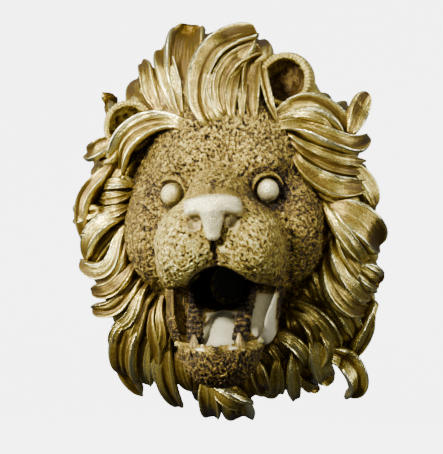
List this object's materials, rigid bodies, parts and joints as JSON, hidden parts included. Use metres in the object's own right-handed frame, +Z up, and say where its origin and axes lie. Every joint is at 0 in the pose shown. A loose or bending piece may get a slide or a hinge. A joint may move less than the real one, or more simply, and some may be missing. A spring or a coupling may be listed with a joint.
{
  "type": "lion head fountain spout",
  "caption": "Wall-mounted cast lion head with a flowing mane, flat back and open roaring mouth that a waterway runs through.",
  "frame": {"origin": "centre of the flat back, on the wall plane", "axes": "+Y into the wall, so the head looks towards -Y; +Z up; +X to the right as seen by someone in front of it"},
  "size_m": [0.115, 0.085, 0.15],
  "materials": {
    "antique_gold": "cast resin in antique gold paint, brown wash in the hollows, pale gold rubbed over the high places"
  },
  "bodies": {
    "root": {"lion_head": "antique_gold"}
  },
  "joints": []
}
